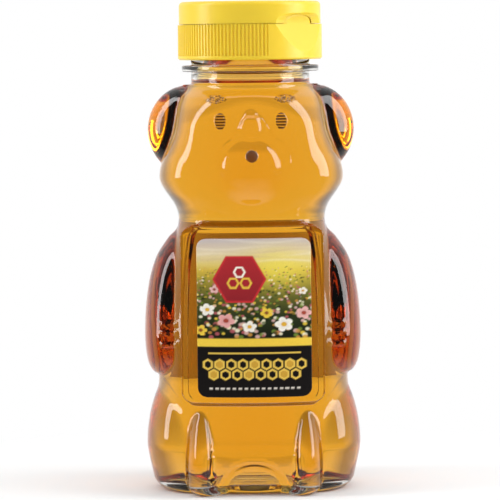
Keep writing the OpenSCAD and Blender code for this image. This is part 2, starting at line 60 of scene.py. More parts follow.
def addNode(tree, kind, links=None, **settings):
    node = tree.nodes.new(kind)
    for key, value in settings.items():
        if key.startswith("in_"):
            name = key[3:]
            socket = node.inputs[int(name)] if name.isdigit() else node.inputs[name.replace("_", " ")]
            socket.default_value = value
        else:
            setattr(node, key, value)
    for name, source in (links or {}).items():
        tree.links.new(source, node.inputs[name])
    return node


def newMaterial(name):
    material = bpy.data.materials.new(name)
    material.use_nodes = True
    material.node_tree.nodes.clear()
    return material, material.node_tree


def finishMaterial(tree, surface, volume=None):
    out = addNode(tree, "ShaderNodeOutputMaterial", {"Surface": surface})
    if volume:
        tree.links.new(volume, out.inputs["Volume"])


def newPiece(name, points, faces, materials, body, smooth=True):
    mesh = bpy.data.meshes.new(name)
    mesh.from_pydata([tuple(p) for p in points], [], [tuple(f) for f in faces])
    mesh.update()
    piece = bpy.data.objects.new(name, mesh)
    bpy.context.scene.collection.objects.link(piece)
    for material in materials:
        mesh.materials.append(material)
    if smooth:
        mesh.polygons.foreach_set("use_smooth", [True]*len(mesh.polygons))
    if body:
        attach(piece, body)
    return piece


# Soft steps and blends, on whole arrays
def ease(a, b, v):
    u = np.clip((v - a)/(b - a), 0, 1)
    return u*u*(3 - 2*u)


def softMax(a, b, k):
    return (a + b + np.sqrt((a - b)**2 + k*k))/2


def along(stations, z, column):
    table = np.array(stations, float)
    x, v = table[:, 0], table[:, column]
    m = np.zeros(len(x))
    m[1:-1] = (v[2:] - v[:-2])/(x[2:] - x[:-2])
    i = np.clip(np.searchsorted(x, z, "right") - 1, 0, len(x) - 2)
    h = x[i + 1] - x[i]
    u = np.clip((z - x[i])/h, 0, 1)
    return (v[i]*(1 + 2*u)*(1 - u)**2 + v[i + 1]*u*u*(3 - 2*u)
            + h*(m[i]*u*(1 - u)**2 - m[i + 1]*u*u*(1 - u)))


# Sizes in mm

bear = {
    "creaseZ": 80.4, "waistZ": 31.5, "legZ": 18.0, "cheekZ": 92.5, "crownZ": 119.6,
    "legW": 63.7, "waistW": 56.4, "armW": 64.2, "creaseW": 43.4, "cheekW": 54.4, "earW": 61.3,
    "earT": 22.0, "depth": 53.0, "wall": 0.8, "baseR": 4.0, "puntH": 1.6,
    "muzzleW": 23.0, "muzzleH": 23.0, "muzzleZ": 95.5,
}
panel = {"w": 42.4, "z0": 27.4, "z1": 79.0, "r": 3.6, "curve": 60.0, "inset": 1.9}
neck = {"r": 17.55, "bore": 15.95, "mouthZ": 134.5, "ringR": 20.25, "ringZ": 123.4, "ringT": 1.9,
        "lip": 0.5, "threadR": 18.75, "pitch": 4.233, "turn": 380, "drop": 1.2}
panelBack = panel["curve"] - (bear["depth"]/2 - panel["inset"])


# Form of the bear

def coreStations():
    b, d, n = bear, bear["depth"]/2, neck["r"]
    return [
        [0, b["legW"]/2 - 5, d - 3, d - 3],
        [b["legZ"] - 8, b["legW"]/2 - 3, d - 2.6, d - 1],
        [b["waistZ"], b["waistW"]/2, d - 3.4, d - 1],
        [b["waistZ"] + 16, b["armW"]/2 - 4.2, d - 3.4, d],
        [b["creaseZ"] - 14, b["creaseW"]/2 + 3.5, d - 4, d - 1.6],
        [b["creaseZ"] - 4, b["creaseW"]/2 + 0.6, d - 5.4, d - 4],
        [b["creaseZ"], b["creaseW"]/2, d - 6, d - 5],
        [b["creaseZ"] + 3.5, b["creaseW"]/2 + 0.9, d - 5.2, d - 4.2],
        [b["cheekZ"], b["cheekW"]/2, d - 3.8, d - 2.6],
        [b["crownZ"] - 14, b["cheekW"]/2 - 4, d - 3.8, d - 2.6],
        [b["crownZ"] - 4, b["cheekW"]/2 - 6, d - 5.2, d - 4.8],
        [b["crownZ"], n + 1, n + 1, n + 1],
    ]


def armStations():
    b = bear
    return [
        [b["waistZ"] + 1.4, b["waistW"]/2 - 1.4, 3, 5],
        [b["waistZ"] + 3.6, b["armW"]/2 - 2.3, 3.4, 9],
        [b["waistZ"] + 7.6, b["armW"]/2 - 0.6, 3.8, 11.6],
        [b["waistZ"] + 16, b["armW"]/2, 3.4, 12.4],
        [b["waistZ"] + 28, b["armW"]/2 - 1, 2.4, 11.6],
        [b["waistZ"] + 37, b["armW"]/2 - 3.4, 1.6, 10],
        [b["waistZ"] + 43, b["armW"]/2 - 7.2, 1, 7.4],
        [b["waistZ"] + 46.4, b["creaseW"]/2 + 0.2, 0.6, 4],
    ]


core = coreStations()
arm = armStations()


def coreRadius(t, z):
    square = 0.45*ease(0, 4, z) + 0.5*ease(bear["creaseZ"], bear["creaseZ"] + 8, z)
    n = 2 + square*(1 - ease(bear["crownZ"] - 12, bear["crownZ"], z))
    s, c = np.abs(np.sin(t)), np.abs(np.cos(t))
    b = np.where(np.cos(t) > 0, along(core, z, 2), along(core, z, 3))
    return ((s/along(core, z, 1))**n + (c/b)**n)**(-1/n)


# Far crossing of a ray at angle t with an ellipse, 0 when it misses
def lobe(t, x, y, a, b):
    s, c = np.sin(t), np.cos(t)
    p = s*s/(a*a) + c*c/(b*b)
    q = s*x/(a*a) + c*y/(b*b)
    d = q*q - p*(x*x/(a*a) + y*y/(b*b) - 1)
    return np.where(d <= 0, 0, (q + np.sqrt(np.maximum(d, 0)))/p)


def dome(z, z0, h):
    return np.sqrt(np.maximum(0.0001, 1 - ((z - z0)/h)**2))


def ball(t, z, x, y, z0, a, b, h):
    s = dome(z, z0, h)
    return np.where(np.abs(z - z0) >= h, 0, lobe(t, x, y, a*s, b*s))


def limbReach(t, z):
    b, d = bear, bear["depth"]/2
    earZ, earH, earRoot = b["crownZ"] - 13.3, 13.2, 18.5
    s = dome(z, earZ, earH)
    ear = np.where(np.abs(z - earZ) >= earH, 0,
                   lobe(t, 6, 0, earRoot - 6 + (b["earW"]/2 - earRoot)*s, b["earT"]/2*np.sqrt(s)))
    muzzle = np.maximum(
        ball(t, z, 0, d - 11.2, b["muzzleZ"], b["muzzleW"]/2, 11, b["muzzleH"]/2),
        ball(t, z, 0, d - 6.2, b["muzzleZ"] + 11.5, 3.7, 3.8, 6))
    armHalf = 7.4
    inArm = (z > arm[0][0]) & (z < arm[-1][0])
    arms = np.where(inArm, lobe(t, along(arm, z, 1) - armHalf, along(arm, z, 2), armHalf,
                                along(arm, z, 3)), 0)
    low = z < b["legZ"] - 5
    s = np.where(low, 1, dome(z, b["legZ"] - 5, b["waistZ"] - b["legZ"] + 10.5))
    thigh = lobe(t, b["legW"]/2 - 12 - 2.2*(1 - ease(0, 14, z)), 2, 12*s, 17*s)
    s = dome(z, 8, panel["z0"] - 9.4)
    foot = np.where(z > panel["z0"] - 2, 0, lobe(t, 15.2, d - 9, 4.9*s, 9*s))
    return np.maximum.reduce([ear, muzzle, arms, thigh, foot])


def panelFace(t):
    s = np.sin(t)
    return np.sqrt(np.maximum(0, panel["curve"]**2 - (panelBack*s)**2)) - panelBack*np.cos(t)


def panelEdge(t, z):  # distance outside the panel's rounded outline
    x = panelFace(t)*np.sin(t)
    u = np.abs(x) - panel["w"]/2 + panel["r"]
    v = np.abs(z - (panel["z0"] + panel["z1"])/2) - (panel["z1"] - panel["z0"])/2 + panel["r"]
    corner = np.sqrt(np.maximum(u, 0)**2 + np.maximum(v, 0)**2)
    return np.where((u > 0) & (v > 0), corner, np.maximum(u, v)) - panel["r"]


def skin(t, z, inside=False):
    t, z = np.broadcast_arrays(np.abs(t), z)
    c = coreRadius(t, z)
    limbs = limbReach(t, z)
    chin = ease(80.5, 83, z)*(1 - ease(90, 95, z))*ease(0.3, 0.6, np.cos(t))
    fillet = np.maximum(c, limbs) + 0.75*(1 - np.minimum(np.abs(c - limbs)/3, 1))**2
    body = np.where(limbs > c - 3, (softMax(c, limbs, 0.5) - 0.1)*(1 - chin) + fillet*chin, c)
    d = panelEdge(t, z)
    w = 1 - ease(-1.6, 0.3, d) if inside else 1 - ease(-0.2, 1.1, d)
    w = np.where(np.cos(t) <= 0.3, 0, w)
    r = body*(1 - w) + panelFace(t)*w
    u, v = r*np.sin(t)/11, z/9.8
    arch = np.where(np.cos(t) <= 0.3, 0, 2.2*(1 - ease(0.82, 1.02, np.sqrt(u*u + v*v))))
    b = bear["baseR"]
    foot = np.where(z >= b, 0, b - np.sqrt(np.maximum(0, b*b - (b - z)**2)))
    return r - arch - foot


# Inside surface: the outside pulled in by a ball with the wall's radius
def hollow(t, z, wall):
    t, z = np.broadcast_arrays(t, z)
    w = wall*(1 + 0.35*(1 - ease(0, 12, z)))
    r = skin(t, z, True)
    low = r - w
    for share in (0.5, 0.87, 1.0):
        for a in np.radians(np.arange(0, 360, 30)):
            shifted = np.pi - np.abs(np.pi - np.abs(t + share*w*np.cos(a)/r))
            low = np.minimum(low, skin(shifted, z + share*w*np.sin(a), True) - w*math.sqrt(1 - share**2))
    return low


# Rounded distance from the middle of an oval, 1 on its outline
def oval(x, z, middle, size, power=2.0):
    return (np.abs((x - middle[0])/size[0])**power + np.abs((z - middle[1])/size[1])**power)**(1/power)


# Fine moulded relief on the outside, in mm outwards: face, muzzle, eyes, nose, brows and fingers
def relief(x, z, front):
    mask = oval(x, z, (0, 104.3), (19.8, 13.4), 2.4)
    out = 0.4*(1 - ease(0.8, 1.1, mask))*ease(89, 97, z + 0.45*np.abs(x))
    muzzle = oval(x, z, (0.9, 97.6), (10.9, 8.2), 2.2)
    bridge = np.abs(x - 0.7)/(2.6 + 0.62*np.clip(110.4 - z, 0, 9))
    inBridge = (1 - ease(0.8, 1.1, bridge))*(1 - ease(109.6, 111.2, z))*ease(101, 104, z)
    out += np.maximum(0.45*(1 - ease(0.88, 1.02, muzzle))*ease(89, 98, z), 0.5*inBridge)
    for side in (-1, 1):
        inEye = 1 - ease(0.85, 1.02, oval(x, z, (side*8.8, 109.2), (1.6, 2.45)))
        out += inEye*(0.34 + 0.25*np.sin(2*np.pi*z/0.84))
        inBrow = 1 - ease(0.6, 1.1, oval(x, z, (side*10, 115.6), (3.2, 1.3)))
        waves = np.sin(2*np.pi*(x*0.9 + 0.35*np.sin(3.1*z))/1.2)*np.sin(2*np.pi*(z - 0.3*np.sin(2.3*x))/1.0)
        out += inBrow*(0.25 + 0.24*waves)
        for height in (49.9, 47.3, 43.8):
            out += 0.5*np.exp(-((z - height)/0.75)**2)*ease(21.6, 22.6, side*x)*(1 - ease(26, 27.5, side*x))
    inNose = 1 - ease(0.85, 1.05, oval(x, z, (0.2, 99.2), (1.8, 1.8)))
    out += inNose*(0.3 + 0.2*np.sin(2*np.pi*x/0.84)*np.sin(2*np.pi*z/0.84))
    return np.where(front, out, 0)


# True where the moulded surface is stippled: the nose, the grooves of the eyes and the brows. There the PET is
# rougher and tinted dark brown, which is painted shade for the dark that the bent light gives these spots
def stippled(x, z, front):
    shadeSpots = oval(x, z, (0.2, 99.2), (1.8, 1.8)) < 0.98
    for side in (-1, 1):
        shadeSpots |= (oval(x, z, (side*8.8, 109.2), (1.6, 2.45)) < 0.98) & (np.sin(2*np.pi*z/0.84) < 0.45)
        waves = np.sin(2*np.pi*(x*0.9 + 0.35*np.sin(3.1*z))/1.2)*np.sin(2*np.pi*(z - 0.3*np.sin(2.3*x))/1.0)
        shadeSpots |= (oval(x, z, (side*10, 115.6), (3.2, 1.3)) < 0.95) & (waves < -0.1)
    return shadeSpots & front


# Meshes

def gradedRange(start, end, coarse, fineZones):
    values, v = [start], start
    while v < end:
        step = coarse
        for low, high, fineStep in fineZones:
            if low - coarse <= v <= high:
                step = min(step, fineStep)
        v += step
        values.append(min(v, end))
    return np.array(values)


def closedLoft(rings, first, last):
    rings = [np.asarray(r) for r in rings]
    n, m = len(rings[0]), len(rings)
    points = np.vstack([np.array([first])] + rings + [np.array([last])])
    i = np.arange(n)
    k = (i + 1) % n
    faces = [tuple(f) for f in np.stack([np.zeros(n, int), 1 + k, 1 + i], 1)]
    for j in range(m - 1):
        a = 1 + j*n
        faces += [tuple(f) for f in np.stack([a + i, a + k, a + n + k, a + n + i], 1)]
    a = 1 + (m - 1)*n
    faces += [tuple(f) for f in np.stack([a + i, a + k, np.full(n, 1 + m*n)], 1)]
    return points, faces


def ringAt(r, t, z):
    z = np.broadcast_to(z, np.shape(t))
    return np.stack([r*np.sin(t), -r*np.cos(t), z], 1)


def halfToFull(half):  # angles from the front round to the back, mirrored to a whole turn
    return np.concatenate([half, -half[-2:0:-1]])


outerHalf = np.radians(gradedRange(0, 180, 1.0, [(0, 5, 0.4), (5, 15, 0.7), (15, 34, 0.45), (44, 64, 0.7), (72, 104, 0.6)]))
outerTurn = halfToFull(outerHalf)
floorZ = bear["wall"] + bear["puntH"] + 0.6
innerTop = bear["crownZ"] - 0.9


def outerRing(z):
    t = outerTurn
    r = skin(t, z)
    r = r + relief(r*np.sin(t), np.broadcast_to(z, t.shape), np.cos(t) > 0.3)
    return ringAt(r, t, z)


def innerRings(turn, wall, lift=0.0):
    rows = np.concatenate([[floorZ + lift + 0.8], np.arange(floorZ + 2, innerTop - 2, 0.9), [innerTop - 2]])
    radii = hollow(turn[None, :], rows[:, None], wall)
    rings = [ringAt(r, turn, z) for r, z in zip(radii, rows)]
    low = rings[0]
    shrunk = [low*[k, k, 0] + [0, 0, floorZ + lift] for k in (0.45, 0.93)]
    return shrunk + [low*[0.985, 0.985, 1] - [0, 0, 0.45]] + rings


def bottleMesh():
    b, n = bear, neck
    rows = np.concatenate([
        b["baseR"]*(1 - np.cos(np.radians(np.arange(0, 90, 6)))),
        gradedRange(b["baseR"], b["crownZ"], 0.42,
                    [(25.6, 31.5, 0.25), (42, 51, 0.3), (74, 81, 0.25), (89, 118, 0.3), (97, 101.4, 0.14),
                     (106.4, 112, 0.14), (114, 117.4, 0.16)])])
    foot = outerRing(0)
    rings = [foot*[0.45, 0.45, 0] + [0, 0, b["puntH"]], foot*[0.8, 0.8, 0] + [0, 0, 0.15], foot*[0.84, 0.84, 0]]
    rings += [outerRing(z) for z in rows]
    top = n["ringZ"] + n["ringT"]
    lip = [(n["r"] - n["lip"] + n["lip"]*math.cos(a), n["mouthZ"] - n["lip"] + n["lip"]*math.sin(a))
           for a in np.radians([0, 30, 60, 90])]
    edge = 0.4
    collar = [(n["ringR"] - edge + edge*math.sin(a), n["ringZ"] + edge - edge*math.cos(a))
              for a in np.radians([0, 30, 60, 90])]
    collar += [(n["ringR"] - edge + edge*math.cos(a), top - edge + edge*math.sin(a))
               for a in np.radians([0, 30, 60, 90])]
    profile = [(n["r"] + 0.3, b["crownZ"] + 0.12), (n["r"], b["crownZ"] + 0.6), (n["r"], n["ringZ"] - 0.3),
               (n["r"] + 0.3, n["ringZ"])] + collar + [(n["r"] + 0.3, top), (n["r"], top + 0.3)] + lip
    profile += [(n["bore"] + 0.2, n["mouthZ"]), (n["bore"], n["mouthZ"] - 0.2), (n["bore"], b["crownZ"] + 1.2),
                (n["bore"], innerTop)]
    rings += [ringAt(np.full(outerTurn.shape, r), outerTurn, z) for r, z in profile]
    outerCount = len(rings) - 2
    rings += innerRings(outerTurn, b["wall"])[::-1]
    points, faces = closedLoft(rings, (0, 0, b["puntH"]), (0, 0, floorZ))
    middles = points[np.array(faces[len(outerTurn):len(outerTurn)*(outerCount + 1)])].mean(axis=1)
    kinds = np.zeros(len(faces), int)
    kinds[len(outerTurn)*(outerCount + 1):] = 1
    # Stippled faces take the dark-tinted PET, whose dark brown colour is painted shade
    shadeSpots = stippled(middles[:, 0], middles[:, 2], middles[:, 1] < -0.3*np.hypot(middles[:, 0], middles[:, 1]))
    kinds[len(outerTurn):len(outerTurn)*(outerCount + 1)][shadeSpots] = 2
    return points*mm, faces, kinds


def honeyMesh():
    gap = 0.05
    honeyZ = 128.5
    turn = outerTurn
    rings = innerRings(turn, bear["wall"] + gap, gap)
    r = neck["bore"] - gap - 0.05
    rings += [ringAt(np.full(turn.shape, r), turn, z) for z in np.linspace(innerTop, honeyZ - 0.3, 8)]
    rings += [ringAt(np.full(turn.shape, r - 0.35), turn, honeyZ), ringAt(np.full(turn.shape, r*0.5), turn, honeyZ)]
    points, faces = closedLoft(rings, (0, 0, floorZ + gap), (0, 0, honeyZ))
    return points*mm, faces


# Solid sheet over a grid of points: a top face, an underside and an edge all round
def sheetMesh(top, under):
    rows, cols = top.shape[:2]
    points = np.vstack([top.reshape(-1, 3), under.reshape(-1, 3)])
    count = rows*cols
    grid = np.arange(count).reshape(rows, cols)
    faces, kinds = [], []
    for j in range(rows - 1):
        for i in range(cols - 1):
            a, b, c, d = grid[j, i], grid[j, i + 1], grid[j + 1, i + 1], grid[j + 1, i]
            faces += [(a, b, c, d), (a + count, d + count, c + count, b + count)]
            kinds += [0, 1]
    loop = list(grid[0, :-1]) + list(grid[:-1, -1]) + list(grid[-1, :0:-1]) + list(grid[:0:-1, 0])
    for a, b in zip(loop, loop[1:] + loop[:1]):
        faces.append((a, a + count, b + count, b))
        kinds.append(1)
    return points, faces, kinds


# Materials

# PET, stretch blow-moulded: clear, high gloss, with faint waviness that bends the light
def petMaterial(name, ior, colour="#FFFDF8", roughness=0.02):
    material, tree = newMaterial(name)
    coords = addNode(tree, "ShaderNodeTexCoord")
    waves = addNode(tree, "ShaderNodeTexNoise", {"Vector": coords.outputs["Object"]}, in_Scale=90.0, in_Detail=1.0)
    bump = addNode(tree, "ShaderNodeBump", {"Height": waves.outputs["Fac"]}, in_Strength=0.1, in_Distance=0.0006)
    shader = addNode(tree, "ShaderNodeBsdfPrincipled", {"Normal": bump.outputs["Normal"]},
                     in_Base_Color=toLinear(colour), in_Roughness=roughness, in_IOR=ior,
                     in_Transmission_Weight=1.0)
    finishMaterial(tree, shader.outputs["BSDF"])
    return material


# Honey: clear amber liquid, reddish where it is thick because it takes off blue and then green
def honeyMaterial():
    material, tree = newMaterial("honey liquid")
    shader = addNode(tree, "ShaderNodeBsdfPrincipled", in_Base_Color=toLinear("#FFFFFF"), in_Roughness=0.0,
                     in_IOR=1.0, in_Transmission_Weight=1.0)
    volume = addNode(tree, "ShaderNodeVolumeAbsorption", in_Color=(0.959, 0.782, 0.14, 1), in_Density=100.0)
    finishMaterial(tree, shader.outputs["BSDF"], volume.outputs["Volume"])
    return material


# Polypropylene, injection-moulded: satin gloss, slightly see-through, so light softens in it
def capMaterial():
    material, tree = newMaterial("moulded polypropylene")
    coords = addNode(tree, "ShaderNodeTexCoord")
    grain = addNode(tree, "ShaderNodeTexNoise", {"Vector": coords.outputs["Object"]}, in_Scale=2500.0, in_Detail=2.0)
    cloud = addNode(tree, "ShaderNodeTexNoise", {"Vector": coords.outputs["Object"]}, in_Scale=60.0, in_Detail=3.0)
    tint = addNode(tree, "ShaderNodeMix", {"Factor": cloud.outputs["Fac"]}, data_type="RGBA")
    tint.inputs[6].default_value = toLinear("#EFC92F")
    tint.inputs[7].default_value = toLinear("#F3D03A")
    bump = addNode(tree, "ShaderNodeBump", {"Height": grain.outputs["Fac"]}, in_Strength=0.12, in_Distance=0.0001)
    shader = addNode(tree, "ShaderNodeBsdfPrincipled",
                     {"Base Color": tint.outputs[2], "Normal": bump.outputs["Normal"]},
                     in_Roughness=0.32, in_IOR=1.49, in_Subsurface_Weight=0.25,
                     in_Subsurface_Radius=(0.004, 0.003, 0.0008), in_Subsurface_Scale=1.0)
    finishMaterial(tree, shader.outputs["BSDF"])
    return material


def plainMaterial(name, colour, roughness, metallic=0.0, scale=800.0, strength=0.1):
    material, tree = newMaterial(name)
    coords = addNode(tree, "ShaderNodeTexCoord")
    grain = addNode(tree, "ShaderNodeTexNoise", {"Vector": coords.outputs["Object"]}, in_Scale=scale, in_Detail=3.0)
    bump = addNode(tree, "ShaderNodeBump", {"Height": grain.outputs["Fac"]}, in_Strength=strength, in_Distance=0.0001)
    shader = addNode(tree, "ShaderNodeBsdfPrincipled", {"Normal": bump.outputs["Normal"]},
                     in_Base_Color=toLinear(colour), in_Roughness=roughness, in_Metallic=metallic)
    finishMaterial(tree, shader.outputs["BSDF"])
    return material


# Label paper on the clear bottle: lets daylight through, so it glows a little when it is seen through the honey
def paperMaterial(name, colour, roughness):
    material, tree = newMaterial(name)
    coords = addNode(tree, "ShaderNodeTexCoord")
    fibres = addNode(tree, "ShaderNodeTexNoise", {"Vector": coords.outputs["Object"]}, in_Scale=900.0, in_Detail=4.0)
    bump = addNode(tree, "ShaderNodeBump", {"Height": fibres.outputs["Fac"]}, in_Strength=0.1, in_Distance=0.0001)
    shader = addNode(tree, "ShaderNodeBsdfPrincipled", {"Normal": bump.outputs["Normal"]},
                     in_Base_Color=toLinear(colour), in_Roughness=roughness)
    passing = addNode(tree, "ShaderNodeBsdfTranslucent", in_Color=toLinear("#FFFCF4"))
    mix = addNode(tree, "ShaderNodeMixShader", {1: shader.outputs["BSDF"], 2: passing.outputs[0]}, in_0=0.65)
    finishMaterial(tree, mix.outputs[0])
    return material


# Printed paper under varnish: inks from the printed colour of each point, with a fine paper grain in them
def printMaterial():
    material, tree = newMaterial("varnished print")
    ink = addNode(tree, "ShaderNodeAttribute", attribute_name="ink")
    coords = addNode(tree, "ShaderNodeTexCoord")
    grain = addNode(tree, "ShaderNodeTexNoise", {"Vector": coords.outputs["Object"]}, in_Scale=3000.0, in_Detail=2.0)
    level = addNode(tree, "ShaderNodeMapRange", {"Value": grain.outputs["Fac"]}, in_To_Min=0.9, in_To_Max=1.1)
    tone = addNode(tree, "ShaderNodeVectorMath", {0: ink.outputs["Color"], "Scale": level.outputs["Result"]},
                   operation="SCALE")
    bump = addNode(tree, "ShaderNodeBump", {"Height": grain.outputs["Fac"]}, in_Strength=0.1, in_Distance=0.00005)
    shader = addNode(tree, "ShaderNodeBsdfPrincipled",
                     {"Base Color": tone.outputs["Vector"], "Normal": bump.outputs["Normal"]},
                     in_Roughness=0.38, in_Specular_IOR_Level=0.35)
    finishMaterial(tree, shader.outputs["BSDF"])
    return material


petOuter = petMaterial("blow-moulded PET", 1.575)
petWetted = petMaterial("blow-moulded PET against honey", 1.575/1.49)
# Stippled PET: rougher, and its dark brown colour is painted shade for the dark nose, eye grooves and brows
petStippledShade = petMaterial("stippled PET with painted shade", 1.575, "#33200F", 0.3)
honeyLiquid = honeyMaterial()
yellowCap = capMaterial()
labelPrint = printMaterial()
labelBack = plainMaterial("label adhesive side", "#B9A27C", 0.6)
labelGlue = paperMaterial("clear adhesive on paper", "#E9DFC8", 0.6)
labelPaper = paperMaterial("coated paper", "#E9E2D0", 0.45)
sealFoil = plainMaterial("embossed foil", "#D8D8DA", 0.3, 1.0)
linerFoam = plainMaterial("foamed liner", "#EFEFEA", 0.7)
print("materials made")

# Pieces

points, faces, kinds = bottleMesh()
bottle = newPiece("bottle_shell", points, faces, [petOuter, petWetted, petStippledShade], "bottle")
bottle.data.polygons.foreach_set("material_index", kinds)
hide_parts("bottle")
print("bottle made:", len(points), "points")

points, faces = honeyMesh()
honey = newPiece("honey_fill", points, faces, [honeyLiquid], "bottle")
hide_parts("honey")
print("honey made:", len(points), "points")


label = {"x": 0.45, "w": 33.2, "h": 46.2, "z": 29.2, "r": 2.8, "t": 0.15, "gap": 0.12, "cell": 0.25,
         "stripeLow": 14.8, "stripeHigh": 17.2, "horizon": 38.0, "seed": 7}


def inks(colour):
    return np.array(toLinear(colour)[:3])


def lay(picture, mask, colour):
    return picture*(1 - mask[..., None]) + mask[..., None]*(inks(colour) if isinstance(colour, str) else colour)


def hexagon(x, y):  # distance from the middle of a hexagon to a side, in the direction of the point
    x, y = np.abs(x), np.abs(y)
    return np.maximum(x, x/2 + y*math.sqrt(3)/2)


# Flower with round petals and a button, seen a little from the side
def flower(picture, x, v, place, size, petals, turn, colour, heart):
    dx, dv = x - place[0], (v - place[1])/0.8
    r, a = np.hypot(dx, dv)/size, np.arctan2(dv, dx)
    rim = 0.62 + 0.38*np.abs(np.cos(petals*(a - turn)/2))**0.7
    shade = 0.72 + 0.28*np.clip(r/rim, 0, 1)[..., None]
    picture = lay(picture, 1 - ease(rim - 0.1, rim + 0.04, r), inks(colour)*shade)
    return lay(picture, 1 - ease(0.24, 0.34, r), heart)


# Picture on the label: meadow and sky, one red hexagon, a yellow rule, and a comb of gold on black below
def printPicture(x, v):
    chance = np.random.RandomState(label["seed"])
    high = label["horizon"]
    up = np.clip((v - label["stripeHigh"])/(label["h"] - label["stripeHigh"]), 0, 1)
    stops = [(0.0, "#12180A"), (0.22, "#27330F"), (0.42, "#57591A"), (0.58, "#9C8A28"), (0.68, "#CDAE3C"),
             (0.74, "#D9C26A"), (0.86, "#DCCBA4"), (1.0, "#BFB2B4")]
    picture = np.stack([np.interp(up, [p for p, c in stops], [inks(c)[k] for p, c in stops]) for k in range(3)], -1)
    glow = np.exp(-((x - 7)/9)**2 - ((v - high)/5.5)**2)
    picture = lay(picture, 0.75*glow, "#F0DC50")
    for k in range(7):
        level = high + 1.5 + 1.0*k
        streak = np.exp(-((v - level - 0.5*np.sin(x/5 + k*1.7))/0.35)**2)*(0.5 + 0.5*np.sin(x/7 + 2.3*k))
        picture = lay(picture, 0.35*streak, ("#F4EAD8", "#C7A98C")[k % 2])
    tints = ["#E8C63A", "#F3EBCB", "#6F8A2B", "#C98F3A", "#B9575F", "#1B250C", "#D9B0A8", "#3E4F16"]
    for k in range(620):
        depth = (k + chance.rand())/620
        place = (chance.uniform(-17, 17), label["stripeHigh"] + (high - label["stripeHigh"])*(1 - depth)**0.8)
        size = 0.2 + 0.5*depth*chance.uniform(0.5, 1.3)
        near = 1 - ease(size*0.6, size*1.25, np.hypot(x - place[0], (v - place[1])/0.75))
        picture = lay(picture, 0.8*near, tints[chance.randint(len(tints))])
    for place, size, petals, turn, colour, heart in (
            ((-11.5, 31.5), 1.5, 5, 0.3, "#E9B9B4", "#8F3A2C"), ((-6.2, 29.4), 1.3, 5, 0.9, "#F4ECDD", "#C9982C"),
            ((14.2, 30.8), 1.4, 5, 0.1, "#F4ECDD", "#C9982C"), ((-13.6, 25.6), 2.3, 5, 0.5, "#F6F1E6", "#D8A52C"),
            ((-8.2, 22.4), 2.7, 5, 1.1, "#E7A6A2", "#A23E2E"), ((-1.4, 20.6), 2.2, 5, 0.2, "#F6F1E6", "#D8A52C"),
            ((3.6, 24.6), 1.9, 5, 0.8, "#EFC93C", "#8A4A1C"), ((8.6, 21.2), 2.8, 5, 0.6, "#F6F1E6", "#D8A52C"),
            ((14.4, 24.4), 2.4, 5, 1.3, "#E9B3AC", "#A23E2E"), ((-15.6, 19.6), 2.0, 5, 0.0, "#EFC93C", "#8A4A1C")):
        picture = flower(picture, x, v, place, size, petals, turn, colour, heart)
    dx, dv = x + 4.2, v - 34.4
    reach = hexagon(dv, dx)
    red = np.clip(0.5 + dv/14, 0, 1)[..., None]
    picture = lay(picture, 1 - ease(6.7, 6.9, reach), "#C4252A")
    picture = lay(picture, 1 - ease(6.1, 6.3, reach), inks("#8E1520")*(1 - red) + inks("#B32028")*red)
    for across, rise, colour in ((0, 2.1, "#F3EBDD"), (-1.85, -1.1, "#E5BC3E"), (1.85, -1.1, "#E5BC3E")):
        cell = hexagon(dv - rise, dx - across)
        picture = lay(picture, 1 - ease(1.55, 1.7, cell), colour)
        picture = lay(picture, 1 - ease(1.0, 1.15, cell), "#A51B24")
    picture = lay(picture, 1 - ease(label["stripeHigh"] - 0.1, label["stripeHigh"] + 0.1, v), "#E9C53C")
    picture = lay(picture, 1 - ease(label["stripeLow"] - 0.1, label["stripeLow"] + 0.1, v), "#120C0B")
    pitch = 3.4
    for row in range(2):
        for k in range(-4, 4 + (1 - row)):
            cell = hexagon(x - pitch*(k + 0.5*row), v - 9.6 + row*pitch*math.sqrt(3)/2)
            inked = (1 - ease(1.42, 1.56, cell))*ease(0.86, 1.0, cell)
            picture = lay(picture, inked, "#E4BE4C")
            if (k + row) % 3 == 0:
                picture = lay(picture, 1 - ease(0.86, 1.0, cell), "#C99A2E")
    for level, half, colour in ((12.9, 0.16, "#E4BE4C"), (2.6, 0.3, "#CFC8BC")):
        dots = 1 if half < 0.2 else (np.abs((x/1.7) % 1 - 0.5) < 0.3)*1.0
        picture = lay(picture, (1 - ease(half - 0.05, half + 0.1, np.abs(v - level)))*dots*(np.abs(x) < 13.6), colour)
    return picture


def frontLabelMesh():
    rows, cols = round(label["h"]/label["cell"]), round(label["w"]/label["cell"])
    v = np.linspace(0, label["h"], rows + 1)
    edge = np.minimum(v, label["h"] - v)
    corner = np.clip(label["r"] - edge, 0, None)
    cut = np.where(corner > 0, label["r"] - np.sqrt(label["r"]**2 - corner**2), 0)
    x = np.linspace(-0.5, 0.5, cols + 1)[None, :]*(label["w"] - 2*cut[:, None])
    v = v[:, None] + 0*x
    grids = []
    for off in (label["gap"] + label["t"], label["gap"]):
        r = panel["curve"] + off
        across = x + label["x"]
        grids.append(np.stack([across, panelBack - np.sqrt(r*r - across*across), label["z"] + v], -1)*mm)
    return sheetMesh(grids[0], grids[1]) + (printPicture(x, v).reshape(-1, 3),)


points, faces, kinds, picture = frontLabelMesh()
frontLabel = newPiece("front_label_sheet", points, faces, [labelPrint, labelBack], "bottle")
frontLabel.data.polygons.foreach_set("material_index", kinds)
colours = np.ones((len(points), 4))
colours[:len(picture), :3] = np.clip(picture, 0, 1)
ink = frontLabel.data.color_attributes.new("ink", "FLOAT_COLOR", "POINT")
ink.data.foreach_set("color", colours.ravel())
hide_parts("front_label")


